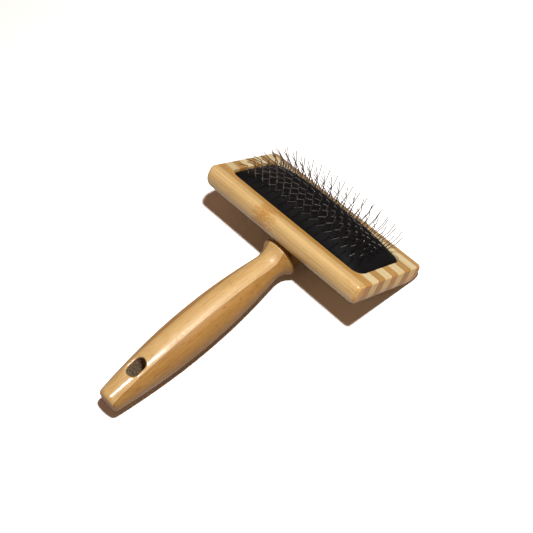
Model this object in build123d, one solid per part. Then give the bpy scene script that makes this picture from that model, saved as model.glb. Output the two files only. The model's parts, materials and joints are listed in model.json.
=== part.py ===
from build123d import *
import math
import os

# Slicker brush: a rectangular head block laminated from bamboo strips, a
# turned three-ply bamboo handle set at an angle under it, and a domed rubber
# cushion pad with rows of bent wire pins.  Millimetres.
#
# The brush is modelled in the head's frame: x along the head, y from the
# handle side to the far side, z out of the top face (z = 0 on that face).
# At the end it is turned to lie as it rests on a table, on the handle's belly
# and the far bottom edge of the head, with the table at z = 0 and +Y running
# from the handle's butt towards the head.

# ---------------------------------------------------------------- dimensions
STRIPS = 10              # bamboo strips in the head
STRIP_WIDTH = 5.87
HEAD_WIDTH = STRIPS * STRIP_WIDTH
HEAD_LENGTH = 117.0
HEAD_THICK = 13.0
CORNER_R = 2.4           # upright corners of the head, at every level

END_TOP_R = 1.1          # radius on the top edge of the two short ends
END_LAND = 6.3           # depth at which the short ends start to curve under
END_UNDER = 3.0          # how far the short ends run under at the bottom
NOSE_TOP_IN = 2.7        # long bull noses: run-in at the top face,
NOSE_DEPTH = 5.3         # depth of the widest level,
NOSE_UNDER = 5.3         # and how far they run under at the bottom

# depths of the head's sections, close together where the sides curve
LEVELS = [
    0.0, 0.02, 0.08, 0.17, 0.30, 0.46, 0.66, 0.88, END_TOP_R,
    1.45, 1.85, 2.30, 2.80, 3.40, 4.10, 4.70, NOSE_DEPTH, END_LAND,
    6.9, 7.5, 8.1, 8.7, 9.25, 9.8, 10.3, 10.75, 11.15, 11.5, 11.8,
    12.06, 12.3, 12.5, 12.66, 12.79, 12.89, 12.96, HEAD_THICK,
]

POCKET_LENGTH, POCKET_WIDTH = 101.0, 40.0
POCKET_R = 6.0
POCKET_DEPTH = 8.0

PAD_GAP = 0.25           # pad to pocket wall
PAD_RIM = -1.2           # z of the pad's rim
PAD_CROWN = 9.0          # height of the dome above the rim
PAD_THICK = 1.6
CLOTH_THICK = 0.6        # backing cloth under the pad
CROWN_SPACE = 0.8        # space under the cloth taken by the staple crowns
DOME_POWER_X, DOME_POWER_Y = 3.6, 4.2    # higher is flatter, with steeper sides
DOME_MARGIN = 1.0        # dome surface runs this far past the pocket
DOME_GRID_X, DOME_GRID_Y = 33, 21        # points on the dome surface
FOAM_GAP = 0.6           # foam to pocket wall
FOAM_LIFT = 0.05         # foam to pocket floor

WIRE_R = 0.22
WIRE_CLEARANCE = 0.05    # staple crown to cloth
ROWS = 13
ROW_PITCH = 2.60
PIN_PITCH = 5.3
PINS_PER_ROW = 16
ROW_SHIFT = 2.2          # every other row is moved along by this much
FIELD_X = 0.9            # the pin field sits slightly off centre
PIN_LOW = 6.7            # pad surface to knee
PIN_HIGH = 7.0           # knee to tip
# y of the row, lean below the knee, lean above it; degrees, + away from the handle
LEANS = [
    (-15.6, -24.0, -80.0), (-12.5, -15.0, -73.0), (-10.0, -10.0, -69.0),
    (-5.0, -6.0, -61.0), (0.0, -5.0, -56.0), (5.0, -3.0, -52.0),
    (10.0, 4.0, -42.0), (12.5, 14.0, -28.0), (15.6, 30.0, -8.0),
]
FAN, FAN_END = 10.0, 15.0    # sideways lean: even part, and extra at the ends
FAN_REACH = 42.0         # x at which the sideways lean is FAN + FAN_END
FAN_HIGH = 0.6           # share of the sideways lean kept above the knee
STRAY = 4.0              # unevenness of the wires, degrees
STRAY_HIGH = 1.5         # times as much above the knee
UNEVEN = 0.35            # unevenness of the leg lengths
KNEE_R, BASE_R, CROWN_R = 1.2, 1.0, 0.6  # wire bends, tip to staple crown

HANDLE_ANGLE = 34.1      # between handle axis and head
HANDLE_LENGTH = 123.3    # butt face to flange rim
NECK_GAP = 21.3          # flange rim to the underside of the head, on the axis
TENON_R = 9.6
TENON_SPARE = 30.0       # extra tenon, trimmed off in the socket
SOCKET_DEPTH = 2.5
CORE_HALF = 5.75         # half the thickness of the light centre ply
BUTT_R = 5.4
FLANGE_R = 11.85
FLANGE_BACK = 1.5        # from the rim to the back of the flange
TENON_BLEND = 1.2        # from the back of the flange to the straight tenon
# distance from the butt face, radius
PROFILE = [
    (2.4, 7.26), (8.7, 8.20), (18.6, 9.45), (28.4, 10.50), (41.5, 11.52),
    (51.0, 11.92), (59.5, 12.04), (68.0, 11.95), (77.5, 11.66),
    (84.3, 11.25), (91.2, 10.67), (98.2, 9.97), (105.1, 9.15),
    (110.5, 8.45), (114.7, 8.15), (117.9, 8.75), (120.3, 10.10),
    (122.1, 11.60),
]

HOLE_PLACE = 22.0        # centre of the hanging hole, from the butt face
HOLE_LENGTH, HOLE_WIDTH = 11.8, 7.2
HOLE_LIP = 0.8           # rounding of its edges

SCREW_PLACES = (2.93, -8.80)     # y of the wood screws under the cushion
SCREW_HEAD_R, SCREW_R, SCREW_LENGTH = 3.2, 1.6, 12.5
SCREW_RIM = 0.5          # upright edge of the screw head
SCREW_TIP = 3.0          # length of the point
SCREW_FIT = 0.03         # clearance of the screw hole
DRIVE_LENGTH, DRIVE_WIDTH, DRIVE_HEIGHT = 4.2, 0.9, 2.2  # cross recess, half sunk

# handle frame: from the butt towards the head, and away from the table
slope = math.radians(HANDLE_ANGLE)
AXIS = Vector(0, math.cos(slope), math.sin(slope))
UP = Vector(0, -math.sin(slope), math.cos(slope))
AXIS_LENGTH = HANDLE_LENGTH + NECK_GAP   # butt face to the head's underside
BUTT = Vector(0, 0, -HEAD_THICK) - AXIS * AXIS_LENGTH
HANDLE_PLACE = Plane(origin=BUTT, x_dir=(1, 0, 0), z_dir=UP).location


def one(shape):
    """The single solid of a boolean result."""
    solids = shape.solids()
    assert len(solids) == 1, len(solids)
    return solids[0]


def rounded_prism(length, width, radius, bottom, top):
    outline = RectangleRounded(length, width, radius)
    return extrude(Pos(0, 0, bottom) * outline, amount=top - bottom)


# ---------------------------------------------------------------- head block
def inset(depth, top_in, top_depth, land_depth, under):
    """How far a side stands in from the overall size at a given depth: upper
    quarter ellipse, upright land, lower quarter ellipse running under."""
    if depth < top_depth:
        u = 1 - depth / top_depth
        return top_in * (1 - math.sqrt(max(0.0, 1 - u * u)))
    if depth > land_depth:
        u = (depth - land_depth) / (HEAD_THICK - land_depth)
        return under * (1 - math.sqrt(max(0.0, 1 - u * u)))
    return 0.0


def head_block():
    """The head with its cushion pocket and the tenon's socket."""
    sections = []
    for depth in LEVELS:
        end_in = inset(depth, END_TOP_R, END_TOP_R, END_LAND, END_UNDER)
        nose_in = inset(depth, NOSE_TOP_IN, NOSE_DEPTH, NOSE_DEPTH, NOSE_UNDER)
        outline = RectangleRounded(HEAD_LENGTH - 2 * end_in, HEAD_WIDTH - 2 * nose_in, CORNER_R)
        sections.append(Pos(0, 0, -depth) * outline)
    block = one(loft(sections, ruled=True))
    block = one(block - rounded_prism(POCKET_LENGTH, POCKET_WIDTH, POCKET_R, -POCKET_DEPTH, 2))

    tenon_bar = HANDLE_PLACE * (Pos(0, AXIS_LENGTH, 0) * Rot(90, 0, 0) * Cylinder(TENON_R, 80))
    socket = tenon_bar & (Pos(0, 0, -HEAD_THICK - 10 + SOCKET_DEPTH) * Box(80, 80, 20))
    return one(block - socket)


# -------------------------------------------------------------------- handle
def turned_handle():
    """Handle turned about Y from the butt face, with flange and tenon."""
    def at(radius, distance):
        return Vector(radius, distance, 0)

    body = [at(radius, distance) for distance, radius in PROFILE]
    start_dir = (body[1] - body[0]).normalized()
    flare_dir = Vector(0.50, 0.87, 0)
    back = HANDLE_LENGTH + FLANGE_BACK
    end = AXIS_LENGTH + TENON_SPARE
    centre, butt_rim = at(0, 0), at(BUTT_R, 0)
    rim = at(FLANGE_R, HANDLE_LENGTH)
    flange_back = at(TENON_R + 1.0, back)
    tenon_start, tenon_end = at(TENON_R, back + TENON_BLEND), at(TENON_R, end)
    # small offsets in the bezier control points set how full each curve is
    edges = [
        Edge.make_line(centre, butt_rim),
        Edge.make_bezier(butt_rim, at(BUTT_R + 1.0, 0), body[0] - start_dir * 1.3, body[0]),
        Edge.make_spline(body, tangents=[start_dir, flare_dir]),
        Edge.make_bezier(body[-1], body[-1] + flare_dir * 0.35,
                         at(FLANGE_R, HANDLE_LENGTH - 0.45), rim),
        Edge.make_bezier(rim, at(FLANGE_R, HANDLE_LENGTH + 0.8),
                         at(TENON_R + 1.9, back), flange_back),
        Edge.make_bezier(flange_back, at(TENON_R + 0.3, back),
                         at(TENON_R, back + 0.3), tenon_start),
        Edge.make_line(tenon_start, tenon_end),
        Edge.make_line(tenon_end, at(0, end)),
        Edge.make_line(at(0, end), centre),
    ]
    return revolve(Face(Wire(edges)), Axis.Y, 360)


def is_hole_lip(edge):
    """True for the hole's edges on the handle's surface, not those along it."""
    box = edge.bounding_box()
    reach = HOLE_LENGTH / 2 + 0.2
    return (abs(edge.center().Z) > 4 and box.size.Z < 5
            and box.min.Y > HOLE_PLACE - reach and box.max.Y < HOLE_PLACE + reach)


def handle_blank():
    """The whole handle in place, its tenon level with the socket's bottom."""
    blank = turned_handle()
    slot = extrude(Rot(0, 0, 90) * SlotOverall(HOLE_LENGTH, HOLE_WIDTH), amount=20, both=True)
    blank = one(blank - Pos(0, HOLE_PLACE, 0) * slot)
    lip = [edge for edge in blank.edges() if is_hole_lip(edge)]
    blank = one(blank.fillet(HOLE_LIP, lip))
    blank = HANDLE_PLACE * blank
    return one(blank - Pos(0, 0, -HEAD_THICK + SOCKET_DEPTH + 40) * Box(200, 200, 80))


# -------------------------------------------------------------------- screws
def screw_body(fit):
    """Countersunk screw pointing down from z = 0, larger all round by fit."""
    shank_r, head_r = SCREW_R + fit, SCREW_HEAD_R + fit
    half_outline = [
        (0, 0), (head_r, 0), (head_r, -SCREW_RIM),
        (shank_r, -SCREW_RIM - (head_r - shank_r)),
        (shank_r, -SCREW_LENGTH + SCREW_TIP - fit), (0, -SCREW_LENGTH - fit), (0, 0),
    ]
    face = make_face(Polyline(*[(x, 0, z) for x, z in half_outline]))
    return revolve(face, Axis.Z, 360)


def fit_screws(block, blank):
    """The screws, and the head and handle with holes for them."""
    drive = (Box(DRIVE_LENGTH, DRIVE_WIDTH, DRIVE_HEIGHT)
             + Box(DRIVE_WIDTH, DRIVE_LENGTH, DRIVE_HEIGHT))
    screws = []
    for y in SCREW_PLACES:
        place = Pos(0, y, -POCKET_DEPTH)
        screws.append(one(place * (screw_body(0.0) - drive)))
        hole = place * screw_body(SCREW_FIT)
        block = one(block - hole)
        blank = one(blank - hole)
    return screws, block, blank


# ------------------------------------------------------------------- laminae
def head_laminae(block):
    """The head cut into strips, from the handle side to the far side."""
    parts = {}
    for i in range(STRIPS):
        y = -HEAD_WIDTH / 2 + i * STRIP_WIDTH + STRIP_WIDTH / 2
        cell = Pos(0, y, 0) * Box(HEAD_LENGTH + 10, STRIP_WIDTH, 60)
        parts["head_lamina_%02d" % (i + 1)] = [one(block & cell)]
    return parts


def handle_plies(blank):
    """The handle cut into its centre ply and the two outer ones."""
    big = 400
    side = Box(big, big, big)
    offset = CORE_HALF + big / 2
    return {
        "handle_core_ply": [one(blank & Box(2 * CORE_HALF, big, big))],
        "handle_left_ply": [one(blank & (Pos(-offset, 0, 0) * side))],
        "handle_right_ply": [one(blank & (Pos(offset, 0, 0) * side))],
    }


# --------------------------------------------------------------- cushion pad
def dome(x, y):
    """Height of the pad's upper surface."""
    u = abs(x) / (POCKET_LENGTH / 2)
    v = abs(y) / (POCKET_WIDTH / 2)
    return PAD_RIM + PAD_CROWN * (1 - u ** DOME_POWER_X) * (1 - v ** DOME_POWER_Y)


def below_dome(drop, gap, bottom):
    """Everything under the dome lowered by drop, inside the pocket less gap."""
    half_x = POCKET_LENGTH / 2 + DOME_MARGIN
    half_y = POCKET_WIDTH / 2 + DOME_MARGIN
    grid = []
    for i in range(DOME_GRID_X):
        x = -half_x + 2 * half_x * i / (DOME_GRID_X - 1)
        row = []
        for j in range(DOME_GRID_Y):
            y = -half_y + 2 * half_y * j / (DOME_GRID_Y - 1)
            row.append(Vector(x, y, dome(x, y) - drop))
        grid.append(row)
    cap = Face.make_surface_from_array_of_points(grid)
    bulk = Solid.extrude(cap, Vector(0, 0, -30))
    room = rounded_prism(POCKET_LENGTH - 2 * gap, POCKET_WIDTH - 2 * gap, POCKET_R - gap,
                         bottom, 20)
    return one(bulk & room)


def cushion():
    """Rubber pad, cloth and foam; each cutter reaches below what it cuts."""
    cloth_bottom = PAD_THICK + CLOTH_THICK
    pad = below_dome(0.0, PAD_GAP, -12) & Box(200, 200, 22)
    pad = one(pad - below_dome(PAD_THICK, PAD_GAP, -20))
    cloth = below_dome(PAD_THICK, PAD_GAP, -11)
    cloth = one(cloth - below_dome(cloth_bottom, PAD_GAP, -25))
    foam = below_dome(cloth_bottom + CROWN_SPACE, FOAM_GAP, -POCKET_DEPTH + FOAM_LIFT)
    return {"cushion_pad": [pad], "pad_backing_cloth": [cloth], "foam_cushion": [foam]}


# ----------------------------------------------------------------- wire pins
def bent_wire(points, radii):
    """Round wire along a polyline with rounded corners."""
    edges = []
    current = points[0]
    for before, corner, after, radius in zip(points, points[1:], points[2:], radii):
        dir_in = (corner - before).normalized()
        dir_out = (after - corner).normalized()
        turn = math.acos(max(-1, min(1, dir_in.dot(dir_out))))
        setback = radius * math.tan(turn / 2)
        arc_start, arc_end = corner - dir_in * setback, corner + dir_out * setback
        inward = (dir_out - dir_in).normalized()
        arc_mid = corner + inward * (radius / math.cos(turn / 2) - radius)
        edges.append(Edge.make_line(current, arc_start))
        edges.append(Edge.make_three_point_arc(arc_start, arc_mid, arc_end))
        current = arc_end
    edges.append(Edge.make_line(current, points[-1]))
    start = Plane(origin=points[0], z_dir=(points[1] - points[0]).normalized())
    disc = Face(Wire.make_circle(WIRE_R, start))
    return Solid.sweep(disc, Wire(edges), transition=Transition.RIGHT)


def stray(x, y, channel):
    """Repeatable unevenness between -STRAY and STRAY, different per channel."""
    return STRAY * math.sin(12.9898 * x + 78.233 * y + 37.719 * channel)


def leans(y):
    """Leans below and above the knee at y, by straight-line steps."""
    for start, end in zip(LEANS, LEANS[1:]):
        if y <= end[0]:
            break
    t = min(1.0, max(0.0, (y - start[0]) / (end[0] - start[0])))
    return [start[i] + (end[i] - start[i]) * t for i in (1, 2)]


def leg(x, y):
    """Crown corner, pad surface, knee and tip of one pin."""
    w = x / FAN_REACH
    fan = math.tan(math.radians(FAN * w + FAN_END * w ** 3 + stray(x, y, 1)))
    lean_low, lean_high = leans(y)
    lean_low = math.radians(lean_low + stray(x, y, 2))
    lean_high = math.radians(lean_high + STRAY_HIGH * stray(x, y, 3))
    side_high = FAN_HIGH * fan + math.radians(STRAY_HIGH * stray(x, y, 4))
    low = Vector(fan, math.tan(lean_low), 1.0).normalized()
    high = Vector(side_high, math.sin(lean_high), math.cos(lean_high)).normalized()
    low = low * (PIN_LOW + UNEVEN * stray(x, y, 5) / STRAY)
    high = high * (PIN_HIGH + UNEVEN * stray(x, y, 6) / STRAY)
    base = Vector(x, y, dome(x, y))
    under = base - Vector(0, 0, PAD_THICK + CLOTH_THICK + WIRE_R + WIRE_CLEARANCE)
    return under, base, base + low, base + low + high


def pin_rows():
    """Rows of two-legged staples; neighbouring pins share a crown."""
    bends = [KNEE_R, BASE_R, CROWN_R, CROWN_R, BASE_R, KNEE_R]
    parts = {}
    for row in range(ROWS):
        y = (row - (ROWS - 1) / 2) * ROW_PITCH
        shift = ROW_SHIFT / 2 if row % 2 else -ROW_SHIFT / 2
        wires = []
        for pin in range(0, PINS_PER_ROW, 2):
            first, second = [
                leg((i - (PINS_PER_ROW - 1) / 2) * PIN_PITCH + shift + FIELD_X, y)
                for i in (pin, pin + 1)
            ]
            wires.append(bent_wire([*reversed(first), *second], bends))
        parts["pin_row_%02d" % (row + 1)] = wires
    return parts


# ------------------------------------------------------------ resting posture
def resting_tilt():
    """Angle of the table line in the middle plane: the line that touches the
    handle and the far bottom edge of the head with nothing below it."""
    handle_line = []
    for distance, radius in [(0.0, BUTT_R)] + PROFILE + [(HANDLE_LENGTH, FLANGE_R)]:
        point = BUTT + AXIS * distance - UP * radius
        handle_line.append((point.Y, point.Z))
    nose_line = []
    for i in range(41):
        a = math.radians(90 * i / 40)
        nose_line.append((HEAD_WIDTH / 2 - NOSE_UNDER + NOSE_UNDER * math.sin(a),
                          -NOSE_DEPTH - (HEAD_THICK - NOSE_DEPTH) * math.cos(a)))

    def height(point, angle):
        return -point[0] * math.sin(angle) + point[1] * math.cos(angle)

    candidates = []
    for near in handle_line:
        for far in nose_line:
            angle = math.atan2(far[1] - near[1], far[0] - near[0])
            lowest = min(height(point, angle) for point in handle_line + nose_line)
            candidates.append((height(near, angle) - lowest, angle))
    return min(candidates, key=lambda candidate: candidate[0])[1]


# ------------------------------------------------------------------ assembly
screws, block, blank = fit_screws(head_block(), handle_blank())
parts = {
    **head_laminae(block),
    **handle_plies(blank),
    "handle_screws": screws,
    **cushion(),
    **pin_rows(),
}

turn = Rot(-math.degrees(resting_tilt()), 0, 0)
placed = {name: [turn * solid for solid in solids] for name, solids in parts.items()}
box = Compound([solid for solids in placed.values() for solid in solids]).bounding_box()
shift = Pos(-(box.min.X + box.max.X) / 2, -(box.min.Y + box.max.Y) / 2, -box.min.Z)

os.makedirs("parts", exist_ok=True)
for name, solids in placed.items():
    moved = [shift * solid for solid in solids]
    shape = moved[0] if len(moved) == 1 else Compound(moved)
    shape.label = name
    export_step(shape, "parts/%s.step" % name)
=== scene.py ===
"""A bamboo brush: a laminated head with wire pins in a domed rubber pad, and a three-ply handle.

The head has its own tilted frame: x along the head, y away from the handle and
z out of the face that carries the pins. All lengths are in metres.
"""
import json
import math

import bmesh
import bpy
import numpy as np
from mathutils import Matrix, Vector, noise


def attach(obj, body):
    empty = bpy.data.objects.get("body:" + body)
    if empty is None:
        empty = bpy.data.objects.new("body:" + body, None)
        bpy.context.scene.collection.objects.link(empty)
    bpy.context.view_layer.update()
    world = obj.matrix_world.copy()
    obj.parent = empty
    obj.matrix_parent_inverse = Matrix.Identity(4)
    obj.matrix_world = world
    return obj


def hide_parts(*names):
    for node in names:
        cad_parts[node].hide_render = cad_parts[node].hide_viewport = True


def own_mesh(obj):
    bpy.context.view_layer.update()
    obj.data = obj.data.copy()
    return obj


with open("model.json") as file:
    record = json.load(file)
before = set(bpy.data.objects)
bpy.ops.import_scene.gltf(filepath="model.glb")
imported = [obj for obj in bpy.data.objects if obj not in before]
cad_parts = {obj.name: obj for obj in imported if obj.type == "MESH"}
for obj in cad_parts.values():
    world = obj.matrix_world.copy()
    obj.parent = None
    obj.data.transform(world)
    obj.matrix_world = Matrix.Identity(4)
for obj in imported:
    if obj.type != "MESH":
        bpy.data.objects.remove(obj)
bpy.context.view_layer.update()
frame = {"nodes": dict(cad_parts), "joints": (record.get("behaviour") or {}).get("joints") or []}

nodes = frame["nodes"]

# ---------------------------------------------------------------- dimensions
POCKET_LENGTH, POCKET_WIDTH, POCKET_RADIUS = 0.101, 0.040, 0.006

# the pad's dome: height at the rim, rise to the crown, and how square it is in x and y
PAD_RIM, PAD_CROWN = -0.0012, 0.0090
DOME_POWER_X, DOME_POWER_Y = 3.6, 4.2
PAD_GAP = 0.00025
PAD_THICKNESS = 0.0016
CLOTH_CLEARANCE = 0.00002
CLOTH_BOTTOM_DROP = 0.0022
FOAM_TOP_DROP = 0.0030
FOAM_BASE_Z = -0.00795

PIN_ROWS, PINS_PER_ROW = 13, 16
PIN_PITCH, ROW_PITCH = 0.0053, 0.00260
ROW_SHIFT = 0.0022              # alternate rows are staggered by this much
PIN_FIELD_X = 0.0009
DIMPLE_DEPTH, DIMPLE_RADIUS = 0.00022, 0.00055
RIPPLE_HEIGHT, RIPPLE_FREQUENCY, RIPPLE_SLICE = 0.00010, 90, 3.1

HANDLE_ANGLE = math.radians(34.1)
HANDLE_LENGTH = 0.1446          # butt to the point under the head's centre
HANDLE_TOP_Z = -0.013
HOLE_FROM_BUTT, HOLE_LENGTH, HOLE_WIDTH = 0.0220, 0.0118, 0.0072
PLY_SEAM_X = 0.00575            # glue lines either side of the core ply

# ---------------------------------------------------------------- frames
HEAD_Z = -Vector(frame["joints"][0]["axis"]).normalized()
HEAD_X = Vector((1, 0, 0))
HEAD_Y = HEAD_Z.cross(HEAD_X).normalized()
HEAD_TILT = math.atan2(-HEAD_Y.z, HEAD_Y.y)

pad_points = np.array([v.co for v in nodes["cushion_pad"].data.vertices])
pad_x = pad_points[:, 0]
pad_y = pad_points @ np.array(HEAD_Y)
pad_z = pad_points @ np.array(HEAD_Z)
HEAD_ORIGIN = (HEAD_X * float((pad_x.max() + pad_x.min()) / 2)
               + HEAD_Y * float((pad_y.max() + pad_y.min()) / 2)
               + HEAD_Z * (float(pad_z.max()) - (PAD_RIM + PAD_CROWN)))


def from_head(x, y, z):
    """World place of a point given in the head's frame."""
    return HEAD_ORIGIN + HEAD_X * x + HEAD_Y * y + HEAD_Z * z


HANDLE_AXIS = HEAD_Y * math.cos(HANDLE_ANGLE) + HEAD_Z * math.sin(HANDLE_ANGLE)
BUTT = from_head(0, 0, HANDLE_TOP_Z) - HANDLE_AXIS * HANDLE_LENGTH


# ---------------------------------------------------------------- material builder
def tint(colour, red, green, blue):
    """A colour with each channel scaled."""
    return (colour[0] * red, colour[1] * green, colour[2] * blue)


class Material:
    """A Principled material; methods add nodes and return their output sockets."""

    def __init__(self, name):
        self.material = bpy.data.materials.new(name)
        self.material.use_nodes = True
        self.tree = self.material.node_tree
        self.tree.nodes.clear()
        output = self.add("ShaderNodeOutputMaterial")
        self.shader = self.add("ShaderNodeBsdfPrincipled")
        self.tree.links.new(self.shader.outputs[0], output.inputs[0])

    def fill(self, node, inputs):
        """Link or set each input; colours are given as RGB."""
        for key, value in inputs.items():
            socket = node.inputs[key]
            if isinstance(value, bpy.types.NodeSocket):
                self.tree.links.new(value, socket)
            elif socket.type == "RGBA":
                socket.default_value = (*value, 1)
            else:
                socket.default_value = value

    def add(self, kind, inputs=None, **settings):
        node = self.tree.nodes.new(kind)
        for key, value in settings.items():
            setattr(node, key, value)
        self.fill(node, inputs or {})
        return node

    def surface(self, inputs):
        self.fill(self.shader, inputs)

    def coords(self, scale, rotation=(0, 0, 0), offset=(0, 0, 0)):
        """Object coordinates, turned first, then scaled and shifted."""
        source = self.add("ShaderNodeTexCoord").outputs["Object"]
        turned = self.add("ShaderNodeMapping", {"Vector": source, "Rotation": rotation})
        return self.add("ShaderNodeMapping", {
            "Vector": turned.outputs[0], "Location": offset, "Scale": scale}).outputs[0]

    def noise(self, vector, detail, roughness, distortion=0.0):
        return self.add("ShaderNodeTexNoise", {
            "Vector": vector, "Scale": 1.0, "Detail": detail,
            "Roughness": roughness, "Distortion": distortion}).outputs["Fac"]

    def even_noise(self, frequency, detail, roughness):
        """Noise with the same frequency (per metre) in every direction."""
        return self.noise(self.coords((frequency,) * 3), detail, roughness)

    def cells(self, vector):
        """Distance to the nearest Voronoi cell centre."""
        return self.add("ShaderNodeTexVoronoi",
                        {"Vector": vector, "Scale": 1.0}).outputs["Distance"]

    def ramp(self, factor, stops):
        """Colour ramp; stops are (position, RGB)."""
        node = self.add("ShaderNodeValToRGB", {0: factor})
        elements = node.color_ramp.elements
        while len(elements) > 1:
            elements.remove(elements[-1])
        elements[0].position = stops[0][0]
        elements[0].color = (*stops[0][1], 1)
        for position, colour in stops[1:]:
            elements.new(position).color = (*colour, 1)
        return node.outputs[0]

    def fit(self, value, start=0.3, end=0.7, low=0.0, high=1.0):
        """Map start..end to low..high, clamped; by default the useful range of a noise."""
        return self.add("ShaderNodeMapRange", {
            "Value": value, "From Min": start, "From Max": end,
            "To Min": low, "To Max": high}).outputs[0]

    def math(self, operation, *values):
        return self.add("ShaderNodeMath", dict(enumerate(values)),
                        operation=operation).outputs[0]

    def plus(self, a, b):
        return self.math("ADD", a, b)

    def minus(self, a, b):
        return self.math("SUBTRACT", a, b)

    def times(self, a, b):
        return self.math("MULTIPLY", a, b)

    def absolute(self, value):
        return self.math("ABSOLUTE", value)

    def vector_math(self, operation, *vectors):
        return self.add("ShaderNodeVectorMath", dict(enumerate(vectors)), operation=operation)

    def mix(self, factor, first, second, mode="MIX"):
        # inputs 6 and 7 and output 2 are the node's colour sockets
        return self.add("ShaderNodeMix", {"Factor": factor, 6: first, 7: second},
                        data_type="RGBA", blend_type=mode).outputs[2]

    def bump(self, height, strength, distance):
        return self.add("ShaderNodeBump", {
            "Height": height, "Strength": strength, "Distance": distance}).outputs[0]

    def split(self, vector):
        return self.add("ShaderNodeSeparateXYZ", {0: vector}).outputs


def dress(piece, material):
    """Give a piece this one material."""
    piece.data.materials.clear()
    piece.data.materials.append(material)


# ---------------------------------------------------------------- bamboo
# frequency along and across the fibres (per metre), detail, roughness
GRAIN = {
    "slow": (9, 60, 2, 0.5),
    "broad": (14, 170, 3, 0.5),
    "fibre": (16, 900, 5, 0.60),
    "fine": (45, 2600, 4, 0.7),
    "dash": (190, 1900, 2, 0.5),
    "pore": (1500, 1500, 3, 0.6),
    "wobble": (150, 430, 4, 0.6),
    "flame": (210, 620, 4, 0.62),
    "end patch": (30, 300, 3, 0.5),
    "film": (170, 170, 2, 0.5),
    "orange peel": (900, 900, 2, 0.5),
    "print-through": (120, 1300, 3, 0.6),
}


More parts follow.
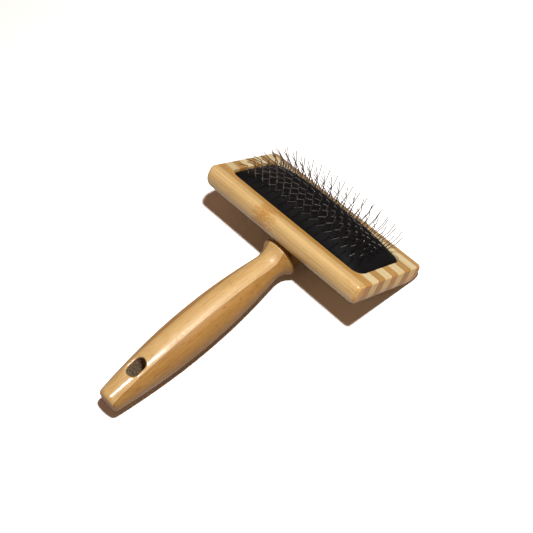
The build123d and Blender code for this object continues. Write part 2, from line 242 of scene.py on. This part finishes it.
class Bamboo(Material):
    """Lacquered bamboo: head strips run along x, handle plies along the handle's axis.

    colours: (pale, dark) RGB
    joints: (place along the strip, half width, strength) where a node of the
        culm crosses it
    marks: strength of the short dark dashes
    """

    def __init__(self, name, colours, seed, on_head, joints=(), tone=1.0, marks=1.0):
        super().__init__(name)
        self.on_head = on_head
        handle_turn = -math.atan2(HANDLE_AXIS.z, HANDLE_AXIS.y)
        self.rotation = (HEAD_TILT if on_head else handle_turn, 0, 0)
        self.offset = (seed * 3.7, seed * 1.9, seed * 5.3)
        self.pale, self.dark = [Vector(colour) * tone for colour in colours]

        self.grow(marks)
        if joints:
            self.cross_joints(joints)
        if on_head:
            self.seal_ends()
        else:
            self.finish_handle()
        self.surface({
            "Base Color": self.colour,
            "Roughness": self.roughness,
            "Specular IOR Level": 0.22,
            "Normal": self.bump(self.relief, strength=0.20, distance=0.00012),
            "Subsurface Weight": 0.05,
            "Subsurface Radius": (0.0012, 0.0007, 0.0003),
            "Subsurface Scale": 1.0,
        })
        self.lacquer()

    def grain_coords(self, along, across, shift=(0, 0, 0)):
        scale = (along, across, across) if self.on_head else (across, along, across)
        offset = tuple(o + s for o, s in zip(self.offset, shift))
        return self.coords(scale, self.rotation, offset)

    def grain(self, name, distortion=0.0, shift=(0, 0, 0)):
        along, across, detail, roughness = GRAIN[name]
        return self.noise(self.grain_coords(along, across, shift),
                          detail, roughness, distortion)

    def stain(self, factor, colour, mode="MIX"):
        self.colour = self.mix(factor, self.colour, colour, mode)

    def grow(self, marks):
        """Base colour and relief of the fibres."""
        pale, dark = self.pale, self.dark
        fibre = self.grain("fibre")
        fine = self.grain("fine")
        self.pore = self.grain("pore")
        self.colour = self.ramp(self.fit(fibre), [
            (0.0, pale.lerp(dark, 0.9)), (0.42, pale.lerp(dark, 0.35)),
            (0.62, pale), (1.0, pale * 1.08)])
        # noise, where the stain starts and is full, its strength, its colour
        stains = (
            (self.grain("broad"), 0.35, 0.68, 0.45, pale.lerp(dark, 0.50)),
            (self.grain("slow"), 0.40, 0.72, 0.40, tint(pale, 1.05, 1.08, 1.14)),
            (fine, 0.50, 0.75, 0.26, tint(dark, 0.85, 0.78, 0.68)),
            (self.grain("dash", shift=(5, 0, 0)), 0.62, 0.70, 0.50 * marks,
             tint(dark, 0.72, 0.58, 0.42)),
            (self.pore, 0.52, 0.72, 0.16, tint(dark, 0.85, 0.75, 0.6)),
        )
        for pattern, start, end, strength, colour in stains:
            self.stain(self.fit(pattern, start, end, high=strength), colour)
        self.relief = self.plus(self.times(fibre, 0.7), self.times(fine, 0.3))
        self.roughness = self.fit(fine, low=0.42, high=0.58)

    def cross_joints(self, joints):
        """The fibres swirl where a node of the culm was planed through."""
        run = self.split(self.coords((1, 1, 1), self.rotation))[0 if self.on_head else 1]
        for place, width, strength in joints:
            wobble = self.times(self.minus(self.grain("wobble"), 0.5), width * 2.4)
            flame = self.grain("flame", distortion=1.6, shift=(0, 9, 0))
            away = self.absolute(self.plus(self.minus(run, place), wobble))
            band = self.fit(away, start=width, end=width * 0.25)
            streak = self.fit(self.absolute(self.minus(flame, 0.5)), start=0.055, end=0.0)
            light = self.fit(flame, start=0.56, end=0.70)
            self.stain(self.times(band, 0.30 * strength), tint(self.dark, 1.02, 0.92, 0.62))
            self.stain(self.times(self.times(light, band), 0.55 * strength),
                       tint(self.pale, 1.08, 1.12, 1.25))
            self.stain(self.times(self.times(streak, band), 0.75 * strength),
                       tint(self.dark, 0.92, 0.74, 0.45))

    def seal_ends(self):
        """End grain of a head strip: cut fibre bundles show as fine dots."""
        normal = self.add("ShaderNodeNewGeometry").outputs["True Normal"]
        cut = self.fit(self.absolute(self.split(normal)[0]), start=0.55, end=0.85)
        bundles = self.cells(self.grain_coords(along=40, across=1500))
        dots = self.fit(bundles, start=0.32, end=0.12)
        patch = self.fit(self.grain("end patch"), start=0.35, end=0.65, low=0.35)
        self.stain(self.times(self.times(cut, dots), self.times(patch, 0.40)),
                   tint(self.dark, 0.66, 0.56, 0.5))
        self.stain(self.times(cut, 0.18), self.pale.lerp(self.dark, 0.8))
        # the ends are made warmer and lighter in colour, with less of a gloss
        self.stain(cut, (1.36, 1.17, 0.84), "MULTIPLY")
        self.coat = self.minus(1.0, self.times(cut, 0.6))

    def finish_handle(self):
        """Glue lines, specks, the bare hanging hole with painted shade inside it, and the sawn
        butt.
        """
        position = self.add("ShaderNodeTexCoord").outputs["Object"]
        from_butt = self.vector_math("SUBTRACT", position, tuple(BUTT)).outputs[0]

        def distance_along(axis):
            return self.vector_math("DOT_PRODUCT", from_butt, axis).outputs["Value"]

        along = self.along = distance_along(tuple(HANDLE_AXIS))
        across = distance_along((1, 0, 0))
        # thin glue line along both joints
        off_seam = self.absolute(self.minus(self.absolute(across), PLY_SEAM_X))
        seam = self.fit(off_seam, start=0.00032, end=0.00008)
        self.stain(self.times(seam, 0.55), tint(self.dark, 0.62, 0.52, 0.42))
        # towards the head the surface runs across the fibres, which show as specks
        near_head = self.fit(along, start=0.085, end=0.112)
        bundles = self.cells(self.grain_coords(along=420, across=1250))
        specks = self.fit(bundles, start=0.34, end=0.12)
        self.stain(self.times(self.times(specks, near_head), 0.34),
                   tint(self.dark, 0.70, 0.58, 0.45))
        # inside of the hanging hole, a slot with round ends: unlacquered and fuzzy, its dark
        # browns partly the bare wood and partly painted shade of the hole
        past_slot = self.math("MAXIMUM", self.minus(
            self.absolute(self.minus(along, HOLE_FROM_BUTT)),
            (HOLE_LENGTH - HOLE_WIDTH) / 2), 0.0)
        distance = self.math("SQRT", self.plus(self.times(past_slot, past_slot),
                                               self.times(across, across)))
        bareness = 1.0
        hole = self.times(self.fit(distance, start=HOLE_WIDTH / 2 + 0.00035,
                                   end=HOLE_WIDTH / 2 + 0.00010), bareness)
        fuzz = self.noise(self.coords((1100, 1100, 700), self.rotation, self.offset),
                          detail=5, roughness=0.7)
        self.stain(hole, self.ramp(self.fit(fuzz, start=0.35, end=0.68), [
            (0.0, (0.09, 0.055, 0.034)), (0.55, (0.27, 0.185, 0.115)),
            (1.0, (0.60, 0.47, 0.34))]))
        # butt face: sawn across and only thinly sealed
        butt = self.fit(along, start=0.00035, end=0.00005)
        sawn = self.mix(self.fit(self.pore, start=0.35, end=0.65),
                        (0.40, 0.285, 0.205), (0.52, 0.40, 0.31))
        self.stain(self.times(butt, 0.85), sawn)
        bare = self.math("MAXIMUM", hole, self.times(butt, 0.8))
        full_coat = 1.0
        self.coat = self.times(self.minus(1.0, bare), full_coat)
        self.roughness = self.math("MAXIMUM", self.roughness, self.times(bare, 0.9))
        self.relief = self.plus(self.relief, self.times(self.times(fuzz, hole), 6.0))

    def lacquer(self):
        """Thin glossy coat, slightly uneven, with faint print-through of the grain."""
        film = self.grain("film")
        peel = self.grain("orange peel")
        texture = self.plus(self.times(self.grain("print-through"), 0.10),
                            self.times(peel, 0.07))
        normal = self.bump(self.plus(film, texture), strength=0.14, distance=0.0006)
        if self.on_head:
            roughness = self.fit(film, low=0.16, high=0.30)
        else:
            # towards the butt the coat's shading normal is tilted along the handle:
            # this sets where the highlights fall, and is not a shape
            lean = self.fit(self.along, start=0.0, end=0.050, low=0.21, high=0.0)
            push = self.add("ShaderNodeVectorMath", {0: tuple(HANDLE_AXIS), "Scale": lean},
                            operation="SCALE").outputs[0]
            leaning = self.vector_math("ADD", normal, push).outputs[0]
            normal = self.vector_math("NORMALIZE", leaning).outputs[0]
            # past the hole the coat is thinner and duller
            far = self.fit(self.along, start=0.030, end=0.045)
            grit = self.fit(peel, start=0.35, end=0.62, low=0.10, high=0.24)
            roughness = self.plus(grit, self.times(far, 0.24))
            self.coat = self.times(
                self.coat, self.fit(far, start=0.0, end=1.0, low=0.62, high=0.36))
        self.surface({"Coat Weight": self.coat, "Coat Roughness": roughness,
                      "Coat IOR": 1.42, "Coat Normal": normal})


# (pale, dark) colours of each kind of strip
LIGHT_STRIP = ((0.500, 0.412, 0.230), (0.385, 0.276, 0.130))
FIRST_STRIP = ((0.465, 0.322, 0.142), (0.345, 0.205, 0.068))
DARK_STRIP = ((0.335, 0.190, 0.049), (0.222, 0.108, 0.022))
CORE_PLY = ((0.430, 0.285, 0.118), (0.315, 0.176, 0.054))
OUTER_PLY = ((0.305, 0.160, 0.040), (0.205, 0.093, 0.019))


def head_bamboo(i):
    """Material of head strip i: the first is its own, then dark and light alternate."""
    if i == 0:
        return Bamboo("bamboo_front", FIRST_STRIP, seed=1.3, on_head=True,
                      joints=[(-0.0125, 0.0085, 2.4), (0.0575, 0.0012, 1.0)])
    if i % 2 == 0:
        return Bamboo("bamboo_light_%d" % i, LIGHT_STRIP, seed=2.1 + 1.7 * i, on_head=True,
                      joints=[(-0.055 + 0.0012 * i * i, 0.003, 0.35)],
                      tone=1.0 + 0.03 * math.sin(i * 2.3), marks=0.5)
    return Bamboo("bamboo_dark_%d" % i, DARK_STRIP, seed=4.9 + 1.3 * i, on_head=True,
                  tone=1.0 + 0.05 * math.sin(i * 1.7), marks=0.7)


for i in range(10):
    dress(nodes["head_lamina_%02d" % (i + 1)], head_bamboo(i).material)

# piece, material, colours, seed, culm joint, marks
HANDLE_PLIES = (
    ("handle_core_ply", "bamboo_core", CORE_PLY, 11.3, (-0.045, 0.004, 0.3), 0.9),
    ("handle_left_ply", "bamboo_ply_left", OUTER_PLY, 17.7, (-0.035, 0.003, 0.8), 1.5),
    ("handle_right_ply", "bamboo_ply_right", OUTER_PLY, 23.9, (0.012, 0.003, 0.4), 1.5),
)
for piece, name, colours, seed, joint, marks in HANDLE_PLIES:
    dress(nodes[piece], Bamboo(name, colours, seed, on_head=False,
                               joints=[joint], marks=marks).material)


# ---------------------------------------------------------------- metals
def metal(name, colour, roughness, frequency):
    m = Material(name)
    mottle = m.even_noise(frequency, detail=3, roughness=0.6)
    grit = m.even_noise(frequency * 6, detail=2, roughness=0.5)
    colour = Vector(colour)
    m.surface({
        "Base Color": m.ramp(m.fit(mottle), [(0, colour * 0.6), (1, colour * 1.25)]),
        "Metallic": 1.0,
        "Roughness": m.fit(grit, low=roughness * 0.7, high=roughness * 1.35),
        "Normal": m.bump(grit, strength=0.15, distance=0.00003),
    })
    return m.material


wire = metal("pin_wire", (0.36, 0.355, 0.375), roughness=0.24, frequency=300)
zinc = metal("screw_zinc", (0.62, 0.60, 0.55), roughness=0.35, frequency=500)
for name, piece in nodes.items():
    if name.startswith("pin_row"):
        dress(piece, wire)
        # the cut ends are ground round and catch the light
        tip = piece.modifiers.new("tip_round", "BEVEL")
        tip.width = 0.00014
        tip.segments = 3
        tip.limit_method = "ANGLE"
        tip.angle_limit = math.radians(60)
dress(nodes["handle_screws"], zinc)


# ---------------------------------------------------------------- cushion shapes
def pin_places():
    """x, y of every pin in the head's frame."""
    places = []
    for row in range(PIN_ROWS):
        shift = ROW_SHIFT / 2 if row % 2 else -ROW_SHIFT / 2
        for k in range(PINS_PER_ROW):
            places.append(((k - (PINS_PER_ROW - 1) / 2) * PIN_PITCH + shift + PIN_FIELD_X,
                           (row - (PIN_ROWS - 1) / 2) * ROW_PITCH))
    return np.array(places)


PINS = pin_places()


def dome(x, y):
    """Height of the pad's smooth top."""
    u = abs(x) / (POCKET_LENGTH / 2)
    v = abs(y) / (POCKET_WIDTH / 2)
    return PAD_RIM + PAD_CROWN * (1 - u ** DOME_POWER_X) * (1 - v ** DOME_POWER_Y)


def pin_dimples(x, y):
    """Change in height where the skin dips round the pins, with a slight ripple."""
    nearest = np.hypot(PINS[:, 0] - x, PINS[:, 1] - y).min()
    ripple = noise.noise(Vector((x * RIPPLE_FREQUENCY, y * RIPPLE_FREQUENCY, RIPPLE_SLICE)))
    return RIPPLE_HEIGHT * ripple - DIMPLE_DEPTH * math.exp(-(nearest / DIMPLE_RADIUS) ** 2)


def rounded_outline(half_x, half_y, radius, step):
    """Points round a rounded rectangle, about a step apart."""
    cx, cy = half_x - radius, half_y - radius
    corners = [(cx, cy, 0), (-cx, cy, 90), (-cx, -cy, 180), (cx, -cy, 270)]
    arc_steps = max(6, int(radius * math.pi / 2 / step))
    points = []
    for k, (x, y, start) in enumerate(corners):
        for j in range(arc_steps + 1):
            angle = math.radians(start + 90 * j / arc_steps)
            points.append((x + radius * math.cos(angle), y + radius * math.sin(angle)))
        # straight side to the next corner
        x0, y0 = points[-1]
        next_x, next_y, _ = corners[(k + 1) % 4]
        x1 = next_x + radius * math.cos(angle)
        y1 = next_y + radius * math.sin(angle)
        side_steps = max(2, int(math.dist((x0, y0), (x1, y1)) / step))
        for j in range(1, side_steps):
            points.append((x0 + (x1 - x0) * j / side_steps, y0 + (y1 - y0) * j / side_steps))
    return points


def add_object(name, bm):
    mesh = bpy.data.meshes.new(name)
    bm.to_mesh(mesh)
    bm.free()
    piece = bpy.data.objects.new(name, mesh)
    bpy.context.scene.collection.objects.link(piece)
    return piece


def bridge(bm, first, second):
    """Quads between two rings of the same length."""
    count = len(first)
    for j in range(count):
        k = (j + 1) % count
        bm.faces.new((first[j], second[j], second[k], first[k]))


UNDERSIDE_SCALES = (1.0, 0.985, 0.94, 0.85, 0.7, 0.5, 0.25)
EDGE_ROLL = 0.9                 # drop of the rolled edge, as a share of its width


def domed(name, top_drop, bottom_drop, gap, step, rings, edge, pinned=False):
    """Closed domed layer filling the pocket, less a gap all round.

    top_drop, bottom_drop: how far each face lies below the dome; a bottom_drop
        of None gives a flat underside at the foam's base
    edge: width of the rolled rim
    """
    outline = rounded_outline(POCKET_LENGTH / 2 - gap, POCKET_WIDTH / 2 - gap,
                              POCKET_RADIUS - gap, step)
    count = len(outline)
    bm = bmesh.new()

    def top_z(x, y):
        z = dome(x, y) - top_drop
        return z + pin_dimples(x, y) if pinned else z

    def bottom_z(x, y):
        return FOAM_BASE_Z if bottom_drop is None else dome(x, y) - bottom_drop

    def ring(scale, height, drop=0.0):
        return [bm.verts.new(from_head(x * scale, y * scale,
                                       height(x * scale, y * scale) - drop))
                for x, y in outline]

    def rim_drop(scale):
        margin = (1 - scale) * (POCKET_WIDTH / 2 - gap)
        if margin >= edge:
            return 0.0
        t = 1 - margin / edge
        return edge * (1 - math.sqrt(max(0.0, 1 - t * t))) * EDGE_ROLL

    top = [ring(k / rings, top_z, rim_drop(k / rings)) for k in range(1, rings + 1)]
    centre = bm.verts.new(from_head(0, 0, top_z(0, 0)))
    for j in range(count):
        bm.faces.new((centre, top[0][j], top[0][(j + 1) % count]))
    for inner, outer in zip(top[:-1], top[1:]):
        bridge(bm, inner, outer)

    last = top[-1]
    for scale in UNDERSIDE_SCALES:
        current = ring(scale, bottom_z)
        bridge(bm, last, current)
        last = current
    centre = bm.verts.new(from_head(0, 0, bottom_z(0, 0)))
    for j in range(count):
        bm.faces.new((last[j], centre, last[(j + 1) % count]))

    bmesh.ops.recalc_face_normals(bm, faces=bm.faces)
    piece = add_object(name, bm)
    for face in piece.data.polygons:
        face.use_smooth = True
    return piece


# ---------------------------------------------------------------- cushion materials
def rubber():
    m = Material("rubber_black")
    mottle = m.even_noise(120, detail=4, roughness=0.6)
    grit = m.even_noise(2600, detail=3, roughness=0.6)
    waves = m.even_noise(420, detail=3, roughness=0.6)
    relief = m.plus(m.times(grit, 0.5), m.times(waves, 0.5))
    m.surface({
        "Base Color": m.ramp(m.fit(mottle), [(0, (0.0012, 0.0012, 0.0015)),
                                             (1, (0.0030, 0.0030, 0.0035))]),
        "Roughness": m.fit(waves, low=0.62, high=0.80),
        "Specular IOR Level": 0.10,
        "Sheen Weight": 0.004,
        "Sheen Roughness": 0.5,
        "Normal": m.bump(relief, strength=0.30, distance=0.00012),
    })
    return m.material


def woven_cloth():
    m = Material("cloth_weave")
    colour = Vector((0.50, 0.46, 0.38))
    wave_number = 2 * math.pi / 0.0007      # thread wave of 0.7 mm
    place = m.split(m.coords((1, 1, 1), (HEAD_TILT, 0, 0)))
    threads = m.times(m.math("SINE", m.times(place[0], wave_number)),
                      m.math("SINE", m.times(place[1], wave_number)))
    fuzz = m.even_noise(900, detail=3, roughness=0.6)
    m.surface({
        "Base Color": m.mix(m.fit(threads, start=-1, end=1), colour * 0.62, colour * 1.1),
        "Roughness": 0.92,
        "Sheen Weight": 0.3,
        "Normal": m.bump(m.plus(threads, fuzz), strength=0.5, distance=0.0002),
    })
    return m.material


def open_cell_foam():
    m = Material("foam_open_cell")
    cells = m.cells(m.coords((1500, 1500, 1500)))
    mottle = m.even_noise(90, detail=3, roughness=0.5)
    m.surface({
        "Base Color": m.mix(m.fit(cells, start=0.0, end=0.7),
                            (0.30, 0.28, 0.22), (0.66, 0.62, 0.50)),
        "Roughness": m.fit(mottle, low=0.85, high=0.98),
        "Normal": m.bump(cells, strength=0.6, distance=0.0003),
    })
    return m.material


# ---------------------------------------------------------------- cushion layers
def place_layer(layer, material, replaced):
    dress(layer, material)
    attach(layer, "head_and_handle")
    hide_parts(replaced)
    return layer


pad = place_layer(
    domed("cushion_pad_skin", top_drop=0.0, bottom_drop=PAD_THICKNESS, gap=PAD_GAP,
          step=0.0006, rings=64, edge=0.0011, pinned=True),
    rubber(), "cushion_pad")
cloth = place_layer(
    domed("backing_cloth_sheet", top_drop=PAD_THICKNESS + CLOTH_CLEARANCE,
          bottom_drop=CLOTH_BOTTOM_DROP, gap=PAD_GAP + 0.0002,
          step=0.0016, rings=24, edge=0.0003),
    woven_cloth(), "pad_backing_cloth")
foam = place_layer(
    domed("foam_block", top_drop=FOAM_TOP_DROP, bottom_drop=None, gap=0.0006,
          step=0.0020, rings=20, edge=0.0008),
    open_cell_foam(), "foam_cushion")

# each layer gets a mesh of its own; the heights and shares listed beside it are not used
for layer, anchor_z, keep in ((pad, PAD_RIM, 0.66), (cloth, PAD_RIM, 0.66),
                              (foam, FOAM_BASE_Z, 0.56)):
    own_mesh(layer)


# ---------------------------------------------------------------- floor
def floor_material():
    """Near white to the camera, while the light it bounces is dimmer and warmer."""
    m = Material("floor_white")
    mottle = m.even_noise(6, detail=2, roughness=0.5)
    seen = m.ramp(m.fit(mottle), [(0, (0.93, 0.93, 0.93)), (1, (0.95, 0.95, 0.95))])
    bounced = m.ramp(m.fit(mottle), [(0, (0.40, 0.385, 0.37)), (1, (0.42, 0.405, 0.39))])
    camera_ray = m.add("ShaderNodeLightPath").outputs["Is Camera Ray"]
    m.surface({"Base Color": m.mix(camera_ray, bounced, seen),
               "Roughness": 0.8, "Specular IOR Level": 0.1})
    return m.material


FLOOR_RADIUS, FLOOR_SIDES, FLOOR_Z = 1.6, 64, -0.00002
bm = bmesh.new()
bm.faces.new([bm.verts.new((FLOOR_RADIUS * math.cos(k * 2 * math.pi / FLOOR_SIDES),
                            FLOOR_RADIUS * math.sin(k * 2 * math.pi / FLOOR_SIDES), FLOOR_Z))
              for k in range(FLOOR_SIDES)])
floor = add_object("floor", bm)
dress(floor, floor_material())

# ---------------------------------------------------------------- world and light
scene = bpy.context.scene
world = bpy.data.worlds.new("studio")
world.use_nodes = True
scene.world = world
# the backdrop looks pale, while the fill it gives is warm and low
tree = world.node_tree
fill = tree.nodes["Background"]
fill.inputs["Color"].default_value = (1.0, 0.53, 0.32, 1)
fill.inputs["Strength"].default_value = 0.180
backdrop = tree.nodes.new("ShaderNodeBackground")
backdrop.inputs["Color"].default_value = (0.93, 0.92, 0.90, 1)
backdrop.inputs["Strength"].default_value = 1.0
light_path = tree.nodes.new("ShaderNodeLightPath")
chooser = tree.nodes.new("ShaderNodeMixShader")
tree.links.new(light_path.outputs["Is Camera Ray"], chooser.inputs[0])
tree.links.new(fill.outputs[0], chooser.inputs[1])
tree.links.new(backdrop.outputs[0], chooser.inputs[2])
tree.links.new(chooser.outputs[0], tree.nodes["World Output"].inputs[0])

key = bpy.data.lights.new("key", "POINT")
key.energy = 28.0
key.shadow_soft_size = 0.021
key.color = (1.0, 0.985, 0.965)
key_object = bpy.data.objects.new("key", key)
scene.collection.objects.link(key_object)
key_object.location = (0.148, 0.0395, 0.6273)


# ---------------------------------------------------------------- camera
def head_direction(x, y, z):
    """World direction of a vector given in the head's frame."""
    return (HEAD_X * x + HEAD_Y * y + HEAD_Z * z).normalized()


right = head_direction(0.676766, 0.660543, 0.325071)
up = head_direction(-0.581117, 0.208218, 0.786733)
forward = head_direction(-0.451986, 0.721339, -0.524767)
eye = from_head(0.261003, -0.442944, 0.273553)

camera = bpy.data.cameras.new("camera")
camera.lens = 70.919
camera.sensor_width = 36.0
camera.sensor_fit = "HORIZONTAL"
camera.clip_start = 0.01
camera_object = bpy.data.objects.new("camera", camera)
scene.collection.objects.link(camera_object)
camera_object.matrix_world = Matrix((
    (right.x, up.x, -forward.x, eye.x),
    (right.y, up.y, -forward.y, eye.y),
    (right.z, up.z, -forward.z, eye.z),
    (0, 0, 0, 1)))
scene.camera = camera_object
scene.view_settings.view_transform = "Standard"
scene.view_settings.look = "None"
